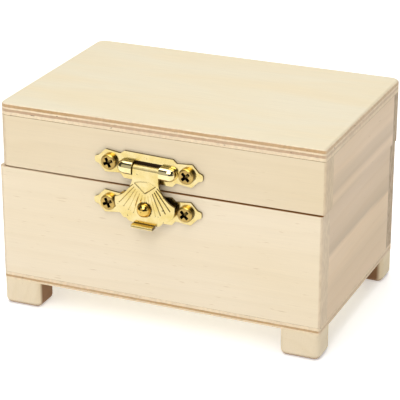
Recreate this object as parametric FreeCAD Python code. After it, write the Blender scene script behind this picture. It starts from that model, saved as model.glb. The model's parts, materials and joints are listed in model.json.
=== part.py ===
import FreeCAD, Part
import math
import os

# Small lidded wooden box on four block feet, with a pressed brass hasp in front
# and two butt hinges behind. Millimetres, +Z up, the front faces -Y.
# The origin is on the floor under the middle of the whole object.

# Wooden box
box_width = 120.0
box_depth = 80.0
wall = 7.5
base_wall_height = 40.4
lid_wall_height = 18.7
bottom_thickness = 2.6
lid_top_thickness = 4.4
base_corner_radius = 2.0
lid_corner_radius = 3.4
sharp_corner_radius = 1.0  # at the front right, which was hardly sanded
lid_top_edge_radius = 1.2
seam_edge_radius = 0.35
seam_gap = 0.35
lid_shift = 0.8  # the lid hangs this far to the right of the base

# Block feet with sanded corners
foot_width = 14.4
foot_depth = 11.4
foot_height = 10.0
foot_upright_radius = 2.4
foot_bottom_radius = 2.2

# Hasp plates, as half widths and heights from the middle of a plate
hasp_offset = -2.0  # from the middle of the base to the middle of the lid plate
hasp_tilt = 2.0  # degrees that the lid plate and its flap hang down to the right
sheet = 0.8
plate_half_span = 20.0
plate_tip_half_height = 1.1
plate_tip_radius = 0.9
plate_waist_inset = 1.5  # from the tip back to the waist behind it
plate_waist_half_height = 1.5
plate_shoulder_half_width = 16.0
plate_shoulder_height = 4.1
plate_notch_half_width = 10.4
plate_notch_height = 3.5
plate_middle_half_width = 9.0
plate_top_height = 4.7
plate_bottom_height = 5.1
plate_corner_radius = 0.5
hasp_screw_spread = 28.6
lid_plate_drop = 15.5  # from the top of the lid down to the middle of its plate
base_plate_drop = 6.3  # from the rim of the base down to the middle of its plate

# Hasp pivot
pivot_drop = 0.5  # below the middle of the lid plate
pivot_out = 1.7  # in front of the wood
hasp_pin_radius = 0.7
ear_radius = 2.0
ear_straight = 2.9
ear_taper = 1.9
ear_tip_radius = 0.9
ear_pin_depth = 3.0
window_above_pivot = 2.6
window_below_pivot = 1.9
pivot_clearance = 0.05
pressed_clearance = 0.02
flap_side_clearance = 0.3

# Hasp flap, as heights below the pivot and half widths
flap_neck_half_width = 4.75
flap_neck_length = 3.2
flap_shoulder_drop = 11.0
flap_half_width = 11.1
flap_side_height = 1.5
flap_notch_half_width = 7.6
flap_notch_drop = 17.3
flap_notch_step = 0.45
flap_heel_drop = 19.1
flap_heel_step = 0.5
flap_scallop_bulge = 0.65
flap_heel_bulge = 0.3
flap_flare_hollow = 1.0
flap_length = 20.2
tab_half_width = 3.9
tab_length = 2.2
tab_thickness = 1.15  # of the sheet folded back on itself
tab_edge_radius = 0.25
flute_count = 13
flute_fan_half_angle = 47.0
flute_fan_drop = 1.0
flute_start = 8.0
flute_outer_lead = 1.9  # how much nearer to the neck the outermost flutes start
flute_end_margin = 1.2
flute_width = 0.45
flute_depth = 0.16
chevron_half_width = 3.9
chevron_top_drop = 4.6
chevron_point_drop = 7.9
arch_rise = 0.9  # of the curved line that joins the tops of the chevron

# Ball stud on the base plate
stud_ball_radius = 2.5
stud_ball_out = 3.5
stud_neck_radius = 1.9
stud_rivet_radius = 1.2
stud_hole_clearance = 0.3

# Hinges
hinge_width = 20.0
hinge_leaf_height = 8.6
hinge_inset = 26.0  # from each end of the base to the middle of its hinge
hinge_corner_radius = 1.4
hinge_pin_radius = 0.8
hinge_knuckle_radius = 1.6
hinge_knuckle_gap = 0.2
hinge_standoff = 0.15  # from the knuckle to the wood
hinge_notch_clearance = 0.3
hinge_screw_spread = 12.4
hinge_screw_drop = 5.4

# Cross-head wood screws
hasp_screw_head_radius = 2.8
hasp_screw_head_height = 1.7
hasp_screw_shank_radius = 1.1
hasp_screw_length = 6.0
hinge_screw_head_radius = 1.8
hinge_screw_head_height = 0.85
hinge_screw_shank_radius = 0.8
hinge_screw_length = 5.0
screw_hole_clearance = 0.15
screw_pilot_clearance = 0.05
screw_point_share = 1.6  # length of the point, in shank radii
screw_rim_share = 0.5  # height of the head's straight rim, in head heights
screw_crown_share = 0.8  # radius of the head's flat crown, in head radii
cross_span_share = 1.3  # length of the cross recess, in head radii
cross_width_share = 0.4  # width of the cross recess, in head radii
cross_depth_share = 0.65  # depth of the cross recess, in head heights
screw_turn = 25.0  # degrees that the first cross of a row stands from upright
screw_turn_step = 17.0  # from each screw of a row to the next

# Levels and places worked out from the sizes above
bottom_z = foot_height
rim_z = bottom_z + bottom_thickness + base_wall_height
lid_z = rim_z + seam_gap
lid_top_z = lid_z + lid_wall_height
top_z = lid_top_z + lid_top_thickness
front_y = -box_depth / 2
back_y = box_depth / 2
half_width = box_width / 2

lid_plate_z = top_z - lid_plate_drop
base_plate_z = rim_z - base_plate_drop
pivot_z = lid_plate_z - pivot_drop
pivot_y = front_y - pivot_out
roll_radius = hasp_pin_radius + pivot_clearance + sheet
flap_back_out = pivot_out + roll_radius - sheet
ear_start = flap_neck_half_width + flap_side_clearance
tilt = math.radians(hasp_tilt)
latch_drop = lid_plate_z - base_plate_z
stud_x = hasp_offset - latch_drop * math.tan(tilt)
stud_hole_z = lid_plate_z - latch_drop / math.cos(tilt)

hinge_z = rim_z + seam_gap / 2
hinge_out = hinge_knuckle_radius + hinge_standoff
hinge_y = back_y + hinge_out
hinge_middles = {"left": -half_width + hinge_inset, "right": half_width - hinge_inset}

front_reach = max(pivot_out + roll_radius + tab_length, stud_ball_out + stud_ball_radius)
back_reach = hinge_out + hinge_knuckle_radius
frame_offset = FreeCAD.Vector(-lid_shift / 2, (front_reach - back_reach) / 2, 0)

overlap = 1.0  # how far cutting tools run past what they cut
parts = {}


def point(x, y, z):
    return FreeCAD.Vector(x, y, z)


def block(x0, x1, y0, y1, z0, z1):
    """Box between two corners."""
    return Part.makeBox(x1 - x0, y1 - y0, z1 - z0, point(x0, y0, z0))


def rod(radius, length, start, direction):
    """Cylinder from a start point along a direction."""
    return Part.makeCylinder(radius, length, start, direction)


def bar_along_x(radius, x0, x1, y, z):
    return rod(radius, x1 - x0, point(x0, y, z), point(1, 0, 0))


def edges_where(shape, test):
    """Edges of a shape whose every corner and middle passes a test on a point."""
    found = []
    for edge in shape.Edges:
        low, high = edge.ParameterRange
        samples = [edge.valueAt(low), edge.valueAt((low + high) / 2), edge.valueAt(high)]
        if all(test(p) for p in samples):
            found.append(edge)
    return found


def near(a, b):
    return abs(a - b) < 1e-6


def rounded_slab(x0, x1, z0, z1, radius):
    """Slab over the whole depth of the box, with rounded vertical corners and a sharper front right one."""
    slab = block(x0, x1, front_y, back_y, z0, z1)
    for x, y in ((x0, front_y), (x0, back_y), (x1, back_y)):
        slab = slab.makeFillet(radius, edges_where(slab, lambda p: near(p.x, x) and near(p.y, y)))
    sharp = edges_where(slab, lambda p: near(p.x, x1) and near(p.y, front_y))
    return slab.makeFillet(sharp_corner_radius, sharp)


def soften_rim(slab, z, radius):
    """Rounds the outer edge of a slab at one height."""
    return slab.makeFillet(radius, edges_where(slab, lambda p: near(p.z, z)))


def wire_face(steps):
    """Flat face from steps of two points for a line and three for an arc."""
    edges = []
    for step in steps:
        if len(step) == 2:
            edges.append(Part.LineSegment(*step).toShape())
        else:
            edges.append(Part.Arc(*step).toShape())
    return Part.Face(Part.Wire(edges))


def mirrored_outline(half, to_point):
    """Closed outline from its right half, which runs from the top middle to the bottom middle."""
    right = [[to_point(x, z) for x, z in step] for step in half]
    left = [[to_point(-x, z) for x, z in reversed(step)] for step in reversed(half)]
    return wire_face(right + left)


def wood_screw(head_radius, head_height, shank_radius, length, through):
    """Pan-head screw along +Z with its head's seat at zero and a cross recess.

    The shank runs through a sheet of the given thickness and a length into the wood.
    """
    rim = head_height * screw_rim_share
    reach = through + length
    point_length = shank_radius * screw_point_share
    crown = head_radius * screw_crown_share
    shoulder = (head_radius - crown) * math.sqrt(0.5)
    shoulder_rise = (head_height - rim) * math.sqrt(0.5)
    profile = [
        [point(0, 0, -reach), point(shank_radius, 0, -reach + point_length)],
        [point(shank_radius, 0, -reach + point_length), point(shank_radius, 0, 0)],
        [point(shank_radius, 0, 0), point(head_radius, 0, 0)],
        [point(head_radius, 0, 0), point(head_radius, 0, rim)],
        [
            point(head_radius, 0, rim),
            point(crown + shoulder, 0, rim + shoulder_rise),
            point(crown, 0, head_height),
        ],
        [point(crown, 0, head_height), point(0, 0, head_height)],
        [point(0, 0, head_height), point(0, 0, -reach)],
    ]
    body = wire_face(profile).revolve(point(0, 0, 0), point(0, 0, 1), 360)
    half_span = head_radius * cross_span_share / 2
    half_slot = head_radius * cross_width_share / 2
    floor = head_height * (1 - cross_depth_share)
    top = head_height + overlap
    slot_x = block(-half_span, half_span, -half_slot, half_slot, floor, top)
    slot_y = block(-half_slot, half_slot, -half_span, half_span, floor, top)
    return body.cut(slot_x.fuse(slot_y))


def faced(shape, x, y, z, toward_front):
    """Turns a shape made along +Z to face the front or the back, and places it."""
    turned = shape.copy()
    turned.rotate(point(0, 0, 0), point(1, 0, 0), 90 if toward_front else -90)
    turned.translate(point(x, y, z))
    return turned


def lid_screw_places():
    """Screw places on the tilted lid plate."""
    x = hasp_screw_spread / 2 * math.cos(tilt)
    z = hasp_screw_spread / 2 * math.sin(tilt)
    return [(hasp_offset - x, lid_plate_z + z), (hasp_offset + x, lid_plate_z - z)]


def base_screw_places():
    """Screw places on the level base plate."""
    half = hasp_screw_spread / 2
    return [(stud_x - half, base_plate_z), (stud_x + half, base_plate_z)]


def hinge_screw_places(direction):
    """Screw places on the leaves above (+1) or below (-1) the hinge line."""
    z = hinge_z + direction * hinge_screw_drop
    half = hinge_screw_spread / 2
    return [(middle + side * half, z) for middle in hinge_middles.values() for side in (-1, 1)]


def drilled(board, places, y, inward, shank_radius, length):
    """Board with blind pilot holes for screws, bored inwards from its outer face."""
    radius = shank_radius + screw_pilot_clearance
    for x, z in places:
        start = point(x, y - inward * overlap, z)
        depth = overlap + length + screw_pilot_clearance
        board = board.cut(rod(radius, depth, start, point(0, inward, 0)))
    return board


def walls(prefix, shell, x_middle, z0, z1, front_places, back_places):
    """Front and back boards over the whole width, with the side boards butted between them."""
    x0, x1 = x_middle - half_width, x_middle + half_width
    inner_front, inner_back = front_y + wall, back_y - wall
    front = shell.common(block(x0, x1, front_y, inner_front, z0, z1))
    back = shell.common(block(x0, x1, inner_back, back_y, z0, z1))
    parts[prefix + "_front"] = drilled(
        front, front_places, front_y, 1, hasp_screw_shank_radius, hasp_screw_length
    )
    parts[prefix + "_back"] = drilled(
        back, back_places, back_y, -1, hinge_screw_shank_radius, hinge_screw_length
    )
    parts[prefix + "_left"] = shell.common(block(x0, x0 + wall, inner_front, inner_back, z0, z1))
    parts[prefix + "_right"] = shell.common(block(x1 - wall, x1, inner_front, inner_back, z0, z1))


def make_base():
    """Four walls, the plywood bottom glued under them and the feet under that."""
    wall_z = bottom_z + bottom_thickness
    shell = rounded_slab(-half_width, half_width, wall_z, rim_z, base_corner_radius)
    shell = soften_rim(shell, rim_z, seam_edge_radius)
    screws = base_screw_places(), hinge_screw_places(-1)
    walls("base", shell, 0, wall_z, rim_z, *screws)
    parts["bottom_panel"] = rounded_slab(-half_width, half_width, bottom_z, wall_z, base_corner_radius)


def make_lid():
    """Four rails and the plywood top glued over them."""
    x0, x1 = lid_shift - half_width, lid_shift + half_width
    shell = rounded_slab(x0, x1, lid_z, lid_top_z, lid_corner_radius)
    shell = soften_rim(shell, lid_z, seam_edge_radius)
    screws = lid_screw_places(), hinge_screw_places(1)
    walls("lid", shell, lid_shift, lid_z, lid_top_z, *screws)
    panel = rounded_slab(x0, x1, lid_top_z, top_z, lid_corner_radius)
    parts["lid_top"] = soften_rim(panel, top_z, lid_top_edge_radius)


def make_feet():
    """One block under each corner, flush with the walls."""
    for x_name, x_side in (("left", -1), ("right", 1)):
        for y_name, y_side in (("front", -1), ("back", 1)):
            x0, x1 = sorted((x_side * half_width, x_side * (half_width - foot_width)))
            y0, y1 = sorted((y_side * back_y, y_side * (back_y - foot_depth)))
            foot = block(x0, x1, y0, y1, 0, bottom_z)
            upright = [e for e in foot.Edges if near(e.BoundBox.ZLength, bottom_z)]
            foot = foot.makeFillet(foot_upright_radius, upright)
            foot = soften_rim(foot, 0, foot_bottom_radius)
            parts["foot_" + y_name + "_" + x_name] = foot


def plate_quarter(middle_height):
    """Corner points of one quarter of a plate's outline, from its middle to its tip."""
    return [
        (plate_middle_half_width, middle_height),
        (plate_notch_half_width, plate_notch_height),
        (plate_shoulder_half_width, plate_shoulder_height),
        (plate_half_span - plate_waist_inset, plate_waist_half_height),
        (plate_half_span, plate_tip_half_height),
    ]


def hasp_plate(x_middle, z_middle):
    """Pressed plate with a shoulder at each screw and a narrow tip beyond it."""
    upper = plate_quarter(plate_top_height)
    lower = [(x, -z) for x, z in reversed(plate_quarter(plate_bottom_height))]
    right = upper + lower
    left = [(-x, z) for x, z in reversed(right)]
    corners = [point(x_middle + x, front_y, z_middle + z) for x, z in right + left]
    face = Part.Face(Part.makePolygon(corners + corners[:1]))
    plate = face.extrude(point(0, -sheet, 0))
    at_tip = lambda e: near(abs(e.Vertexes[0].X - x_middle), plate_half_span)
    through = [e for e in plate.Edges if near(e.BoundBox.YLength, sheet)]
    plate = plate.makeFillet(plate_corner_radius, [e for e in through if not at_tip(e)])
    through = [e for e in plate.Edges if near(e.BoundBox.YLength, sheet)]
    return plate.makeFillet(plate_tip_radius, [e for e in through if at_tip(e)])


def with_screw_holes(plate, places):
    """Plate with a hole for each screw."""
    radius = hasp_screw_shank_radius + screw_hole_clearance
    for x, z in places:
        start = point(x, front_y + overlap, z)
        plate = plate.cut(rod(radius, sheet + 2 * overlap, start, point(0, -1, 0)))
    return plate


def tilted(shape):
    """Turns a piece made level to the lean of the lid plate."""
    turned = shape.copy()
    turned.rotate(point(hasp_offset, front_y, lid_plate_z), point(0, 1, 0), hasp_tilt)
    return turned


def hasp_ear():
    """Bullet-shaped ear pressed out of the lid plate on the right, which holds one end of the pin."""
    start = hasp_offset + ear_start
    shoulder = start + ear_straight
    tip = shoulder + ear_taper
    along = point(1, 0, 0)
    ear = bar_along_x(ear_radius, start, shoulder, pivot_y, pivot_z)
    taper = Part.makeCone(ear_radius, ear_tip_radius, ear_taper, point(shoulder, pivot_y, pivot_z), along)
    ear = ear.fuse(taper).fuse(Part.makeSphere(ear_tip_radius, point(tip, pivot_y, pivot_z), along))
    behind = ear_radius + overlap
    room = block(
        start - overlap,
        tip + ear_tip_radius + overlap,
        front_y,
        front_y + behind,
        pivot_z - behind,
        pivot_z + behind,
    )
    return ear.cut(room)


def make_hasp_lid_side():
    """Lid plate with its ears, the pin across them and its screws."""
    plate = hasp_plate(hasp_offset, lid_plate_z)
    window = block(
        hasp_offset - ear_start,
        hasp_offset + ear_start,
        front_y - sheet - overlap,
        front_y + overlap,
        pivot_z - window_below_pivot,
        pivot_z + window_above_pivot,
    )
    plate = plate.cut(window)
    right_ear = hasp_ear()
    left_ear = right_ear.mirror(point(hasp_offset, 0, 0), point(1, 0, 0))
    plate = plate.fuse(right_ear).fuse(left_ear)
    reach = ear_start + ear_pin_depth
    bore = bar_along_x(
        hasp_pin_radius + pressed_clearance, hasp_offset - reach, hasp_offset + reach, pivot_y, pivot_z
    )
    plate = tilted(plate.cut(bore).removeSplitter())
    parts["hasp_lid_plate"] = with_screw_holes(plate, lid_screw_places())
    end = reach - pressed_clearance
    pin = bar_along_x(hasp_pin_radius, hasp_offset - end, hasp_offset + end, pivot_y, pivot_z)
    parts["hasp_pin"] = tilted(pin)


def screw_row(screw, places, y, toward_front):
    """One screw at each place, each driven home at its own turn of the cross."""
    row = []
    for index, (x, z) in enumerate(places):
        turned = screw.copy()
        turned.rotate(point(0, 0, 0), point(0, 0, 1), screw_turn + index * screw_turn_step)
        row.append(faced(turned, x, y, z, toward_front))
    return Part.makeCompound(row)


def hasp_screws(places):
    screw = wood_screw(
        hasp_screw_head_radius, hasp_screw_head_height, hasp_screw_shank_radius, hasp_screw_length, sheet
    )
    return screw_row(screw, places, front_y - sheet, True)


def flap_outline():
    """Right half of the shell-shaped flap, as half widths and heights above the pivot."""
    neck, drop = flap_neck_half_width, flap_neck_length
    side_end = flap_shoulder_drop + flap_side_height
    flare_x = (neck + flap_half_width) / 2 - flap_flare_hollow
    flare_z = (drop + flap_shoulder_drop) / 2 + flap_flare_hollow
    scallop_x = (flap_half_width + flap_notch_half_width) / 2 + flap_scallop_bulge
    scallop_z = (side_end + flap_notch_drop) / 2 + flap_scallop_bulge
    inner = flap_notch_half_width - flap_notch_step
    heel_x = tab_half_width + flap_heel_step
    heel_z = (flap_notch_drop + flap_heel_drop) / 2 + flap_heel_bulge
    return [
        [(0, 0), (neck, 0)],
        [(neck, 0), (neck, -drop)],
        [(neck, -drop), (flare_x, -flare_z), (flap_half_width, -flap_shoulder_drop)],
        [(flap_half_width, -flap_shoulder_drop), (flap_half_width, -side_end)],
        [
            (flap_half_width, -side_end),
            (scallop_x, -scallop_z),
            (flap_notch_half_width, -flap_notch_drop),
        ],
        [(flap_notch_half_width, -flap_notch_drop), (inner, -flap_notch_drop + flap_notch_step)],
        [
            (inner, -flap_notch_drop + flap_notch_step),
            ((inner + heel_x) / 2 + flap_heel_bulge, -heel_z),
            (heel_x, -flap_heel_drop),
        ],
        [(heel_x, -flap_heel_drop), (tab_half_width, -flap_heel_drop)],
        [(tab_half_width, -flap_heel_drop), (tab_half_width, -flap_length)],
        [(tab_half_width, -flap_length), (0, -flap_length)],
    ]


def groove(x0, z0, x1, z1, face_y):
    """Vee-shaped cutter along a line on the front of the flap."""
    run, fall = x1 - x0, z1 - z0
    length = math.hypot(run, fall)
    half = flute_width / 2
    section = Part.makePolygon(
        [
            point(-half, -overlap, 0),
            point(half, -overlap, 0),
            point(half, 0, 0),
            point(0, flute_depth, 0),
            point(-half, 0, 0),
            point(-half, -overlap, 0),
        ]
    )
    cutter = Part.Face(section).extrude(point(0, 0, length))
    cutter.rotate(point(0, 0, 0), point(0, 1, 0), math.degrees(math.atan2(run, fall)))
    cutter.translate(point(x0, face_y, z0))
    return cutter


def flap_grooves(face_y):
    """Arch and chevron under the neck, and the fan of flutes below them."""
    x, z = hasp_offset, pivot_z
    cutters = [
        groove(x + side * chevron_half_width, z - chevron_top_drop, x, z - chevron_point_drop, face_y)
        for side in (-1, 1)
    ]
    for index in range(flute_count):
        share = 2 * index / (flute_count - 1) - 1
        angle = math.radians(share * flute_fan_half_angle)
        far = (flap_notch_drop - flute_fan_drop) - flute_end_margin
        far = min(far, (flap_half_width - flute_end_margin) / max(abs(math.sin(angle)), 1e-6))
        near_end = flute_start - flute_outer_lead * abs(share)
        start = (x + near_end * math.sin(angle), z - flute_fan_drop - near_end * math.cos(angle))
        end = (x + far * math.sin(angle), z - flute_fan_drop - far * math.cos(angle))
        cutters.append(groove(*start, *end, face_y))
    cutters.append(arch_groove(face_y))
    return cutters


def arch_groove(face_y):
    """Round-bottomed cutter along the arch that joins the tops of the chevron."""
    radius = (chevron_half_width**2 + arch_rise**2) / (2 * arch_rise)
    z_top = pivot_z - chevron_top_drop + arch_rise
    ring = Part.makeTorus(radius, flute_depth, point(hasp_offset, face_y, z_top - radius), point(0, 1, 0))
    room = block(
        hasp_offset - chevron_half_width,
        hasp_offset + chevron_half_width,
        face_y - overlap,
        face_y + overlap,
        pivot_z - chevron_top_drop - overlap,
        z_top + overlap,
    )
    return ring.common(room)


def make_hasp_flap():
    """Sheet rolled round the pin, cut to a fluted shell, with a hole for the stud and a lifting tab."""
    back = front_y - flap_back_out
    face = mirrored_outline(
        flap_outline(), lambda x, z: point(hasp_offset + x, back, pivot_z + z)
    )
    flap = face.extrude(point(0, -sheet, 0))
    neck0, neck1 = hasp_offset - flap_neck_half_width, hasp_offset + flap_neck_half_width
    flap = flap.fuse(bar_along_x(roll_radius, neck0, neck1, pivot_y, pivot_z))
    tab = block(
        hasp_offset - tab_half_width,
        hasp_offset + tab_half_width,
        back - sheet - tab_length,
        back,
        pivot_z - flap_length,
        pivot_z - flap_length + tab_thickness,
    )
    tip = edges_where(tab, lambda p: near(p.y, back - sheet - tab_length))
    tab = tab.makeFillet(tab_edge_radius, [e for e in tip if near(e.BoundBox.ZLength, 0)])
    flap = flap.fuse(tab)
    flap = flap.cut(
        bar_along_x(
            hasp_pin_radius + pivot_clearance, neck0 - overlap, neck1 + overlap, pivot_y, pivot_z
        )
    )
    hole = rod(
        stud_ball_radius + stud_hole_clearance,
        sheet + 2 * overlap,
        point(hasp_offset, back + overlap, stud_hole_z),
        point(0, -1, 0),
    )
    flap = flap.cut(hole)
    for cutter in flap_grooves(back - sheet):
        flap = flap.cut(cutter)
    parts["hasp_flap"] = tilted(flap.removeSplitter())


def make_hasp_base_side():
    """Base plate, the ball stud riveted to it and its screws."""
    rivet = stud_rivet_radius + pressed_clearance
    hole = rod(
        rivet, sheet + 2 * overlap, point(stud_x, front_y + overlap, base_plate_z), point(0, -1, 0)
    )
    plate = hasp_plate(stud_x, base_plate_z).cut(hole)
    parts["hasp_base_plate"] = with_screw_holes(plate, base_screw_places())
    join = stud_ball_out - math.sqrt(stud_ball_radius**2 - stud_neck_radius**2)
    profile = [
        [point(0, 0, 0), point(stud_rivet_radius, 0, 0)],
        [point(stud_rivet_radius, 0, 0), point(stud_rivet_radius, 0, sheet)],
        [point(stud_rivet_radius, 0, sheet), point(stud_neck_radius, 0, sheet)],
        [point(stud_neck_radius, 0, sheet), point(stud_neck_radius, 0, join)],
        [
            point(stud_neck_radius, 0, join),
            point(stud_ball_radius, 0, stud_ball_out),
            point(0, 0, stud_ball_out + stud_ball_radius),
        ],
        [point(0, 0, stud_ball_out + stud_ball_radius), point(0, 0, 0)],
    ]
    stud = wire_face(profile).revolve(point(0, 0, 0), point(0, 0, 1), 360)
    parts["hasp_stud"] = faced(stud, stud_x, front_y, base_plate_z, True)


def hinge_leaf(middle, direction, own_spans, other_spans):
    """Leaf above (+1) or below (-1) the hinge line with its knuckles, before its pin hole."""
    x0, x1 = middle - hinge_width / 2, middle + hinge_width / 2
    end = hinge_z + direction * hinge_leaf_height
    z0, z1 = min(hinge_z, end), max(hinge_z, end)
    leaf = block(x0, x1, back_y, back_y + sheet, z0, z1)
    outer = edges_where(leaf, lambda p: near(p.z, end) and (near(p.x, x0) or near(p.x, x1)))
    leaf = leaf.makeFillet(hinge_corner_radius, outer)
    notch = hinge_knuckle_radius + hinge_notch_clearance
    for a, b in other_spans:
        room_z = sorted((hinge_z - direction * overlap, hinge_z + direction * notch))
        leaf = leaf.cut(block(a, b, back_y - overlap, back_y + sheet + overlap, *room_z))
    for a, b in own_spans:
        leaf = leaf.fuse(bar_along_x(hinge_knuckle_radius, a, b, hinge_y, hinge_z))
    radius = hinge_screw_shank_radius + screw_hole_clearance
    for x, z in hinge_screw_places(direction):
        if x0 < x < x1:
            start = point(x, back_y - overlap, z)
            leaf = leaf.cut(rod(radius, sheet + 2 * overlap, start, point(0, 1, 0)))
    return leaf


def make_hinges():
    """Two butt hinges: the lid leaf has the outer knuckles and the base leaf the middle one."""
    third = (hinge_width - 2 * hinge_knuckle_gap) / 3
    for name, middle in hinge_middles.items():
        x0, x1 = middle - hinge_width / 2, middle + hinge_width / 2
        inner0, inner1 = x0 + third + hinge_knuckle_gap, x1 - third - hinge_knuckle_gap
        lid_spans = [(x0, x0 + third), (x1 - third, x1)]
        lid_room = [(x0 - overlap, inner0), (inner1, x1 + overlap)]
        base_room = [(x0 + third, x1 - third)]
        lid_leaf = hinge_leaf(middle, 1, lid_spans, base_room)
        base_leaf = hinge_leaf(middle, -1, [(inner0, inner1)], lid_room)
        running = bar_along_x(
            hinge_pin_radius + pivot_clearance, x0 - overlap, x1 + overlap, hinge_y, hinge_z
        )
        pressed = bar_along_x(
            hinge_pin_radius + pressed_clearance, x0 - overlap, x1 + overlap, hinge_y, hinge_z
        )
        parts["hinge_" + name + "_lid_leaf"] = lid_leaf.cut(running).removeSplitter()
        parts["hinge_" + name + "_base_leaf"] = base_leaf.cut(pressed).removeSplitter()
        parts["hinge_" + name + "_pin"] = bar_along_x(hinge_pin_radius, x0, x1, hinge_y, hinge_z)


def hinge_screws(direction):
    screw = wood_screw(
        hinge_screw_head_radius,
        hinge_screw_head_height,
        hinge_screw_shank_radius,
        hinge_screw_length,
        sheet,
    )
    return screw_row(screw, hinge_screw_places(direction), back_y + sheet, False)


def make_screws():
    parts["hasp_lid_screws"] = hasp_screws(lid_screw_places())
    parts["hasp_base_screws"] = hasp_screws(base_screw_places())
    parts["hinge_lid_screws"] = hinge_screws(1)
    parts["hinge_base_screws"] = hinge_screws(-1)


def export():
    """Moves the pieces to the frame of the whole object and writes one file for each."""
    os.makedirs("parts", exist_ok=True)
    for name, shape in parts.items():
        shape.translate(frame_offset)
        shape.exportStep("parts/" + name + ".step")


make_base()
make_lid()
make_feet()
make_hasp_lid_side()
make_hasp_flap()
make_hasp_base_side()
make_hinges()
make_screws()
export()
print("parts", len(parts), "frame offset", tuple(frame_offset), "hinge", hinge_y, hinge_z, "pivot", pivot_y, pivot_z)
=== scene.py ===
import enum
import json
import logging
import math
from collections.abc import Mapping, Sequence
from dataclasses import dataclass, field

import bmesh
import bpy
from mathutils import Matrix, Vector


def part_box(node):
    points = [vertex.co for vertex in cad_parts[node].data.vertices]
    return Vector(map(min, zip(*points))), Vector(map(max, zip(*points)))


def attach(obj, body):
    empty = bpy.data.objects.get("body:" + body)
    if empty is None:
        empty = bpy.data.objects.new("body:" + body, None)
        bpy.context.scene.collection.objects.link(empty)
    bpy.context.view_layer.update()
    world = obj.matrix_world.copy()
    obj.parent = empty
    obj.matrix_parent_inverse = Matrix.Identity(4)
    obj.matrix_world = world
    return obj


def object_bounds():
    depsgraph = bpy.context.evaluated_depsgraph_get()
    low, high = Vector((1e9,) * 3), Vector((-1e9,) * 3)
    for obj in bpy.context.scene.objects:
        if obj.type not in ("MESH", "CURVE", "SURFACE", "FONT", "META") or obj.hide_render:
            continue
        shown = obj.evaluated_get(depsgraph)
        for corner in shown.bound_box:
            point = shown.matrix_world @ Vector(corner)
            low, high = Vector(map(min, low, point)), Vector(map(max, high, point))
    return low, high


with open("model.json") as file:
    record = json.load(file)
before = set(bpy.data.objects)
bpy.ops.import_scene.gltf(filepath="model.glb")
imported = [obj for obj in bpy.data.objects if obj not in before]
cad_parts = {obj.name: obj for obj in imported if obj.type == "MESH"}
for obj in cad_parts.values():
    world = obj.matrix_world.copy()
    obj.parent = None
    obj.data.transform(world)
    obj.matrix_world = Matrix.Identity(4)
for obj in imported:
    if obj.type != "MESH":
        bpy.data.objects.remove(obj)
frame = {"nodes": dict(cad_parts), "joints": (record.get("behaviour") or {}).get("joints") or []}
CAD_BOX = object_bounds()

LOG = logging.getLogger("wooden_box")
MM = 0.001
NOWHERE = -1.0  # a place in metres that no piece reaches
OCCLUSION_SAMPLES = 8
EDGE_SEGMENTS = 2
EDGE_ANGLE_DEG = 35.0

Node = bpy.types.Node
Socket = bpy.types.NodeSocket
Wire = Node | Socket
Material = bpy.types.Material
Colour = tuple[float, float, float, float]
Triple = tuple[float, float, float]
Span = tuple[float, float]

PATTERN_SPAN: Span = (0.3, 0.7)  # where most values of a pattern lie
FIBRE_SPAN: Span = (0.25, 0.75)  # a little wider, for fibres


class GrainAxis(enum.Enum):
    """Direction that the fibres of a board run along, as the order of its along, across and up axes."""

    WIDTH = ("X", "Y", "Z")
    DEPTH = ("Y", "X", "Z")


def linear(hex_colour: str) -> Colour:
    """Turns an sRGB hex colour into linear light.

    Args:
        hex_colour: six hex digits, such as "E8D5B0".

    Returns:
        Linear red, green, blue and an alpha of one.
    """
    channels = [int(hex_colour[i : i + 2], 16) / 255 for i in (0, 2, 4)]
    red, green, blue = (c / 12.92 if c <= 0.04045 else ((c + 0.055) / 1.055) ** 2.4 for c in channels)
    return (red, green, blue, 1.0)


def grey(value: float) -> Colour:
    """Returns a grey of one linear value."""
    return (value, value, value, 1.0)


class NodeBoard:
    """Shader nodes of one material or world, built up from empty."""

    def __init__(self, owner: Material | bpy.types.World) -> None:
        """Empties the owner's nodes.

        Args:
            owner: material or world that holds the nodes.
        """
        owner.use_nodes = True
        self.tree = owner.node_tree
        self.tree.nodes.clear()

    def add(
        self, kind: str, inputs: Sequence | Mapping = (), stops: Sequence = (), **settings: object
    ) -> Node:
        """Adds a shader node with its settings and links.

        Args:
            kind: Blender's name of the node, without its ShaderNode prefix.
            inputs: what the inputs in use get, in order or by name. A node or an output is linked, a string
                is a hex colour, and anything else is a constant.
            stops: position and linear colour of each stop of a colour ramp, in order.
            settings: properties to set on the node.

        Returns:
            The new node.
        """
        node = self.tree.nodes.new("ShaderNode" + kind)
        for name, value in settings.items():
            setattr(node, name, value)
        if stops:
            elements = node.color_ramp.elements
            while len(elements) < len(stops):
                elements.new(1.0)
            for element, (position, colour) in zip(elements, stops):
                element.position, element.color = position, colour
        in_use = [socket for socket in node.inputs if socket.enabled]
        for key, value in inputs.items() if isinstance(inputs, Mapping) else enumerate(inputs):
            socket = node.inputs[key] if isinstance(key, str) else in_use[key]
            if isinstance(value, Node):
                value = next(output for output in value.outputs if output.enabled)
            if isinstance(value, Socket):
                self.tree.links.new(value, socket)
            else:
                socket.default_value = linear(value) if isinstance(value, str) else value
        return node


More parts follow.
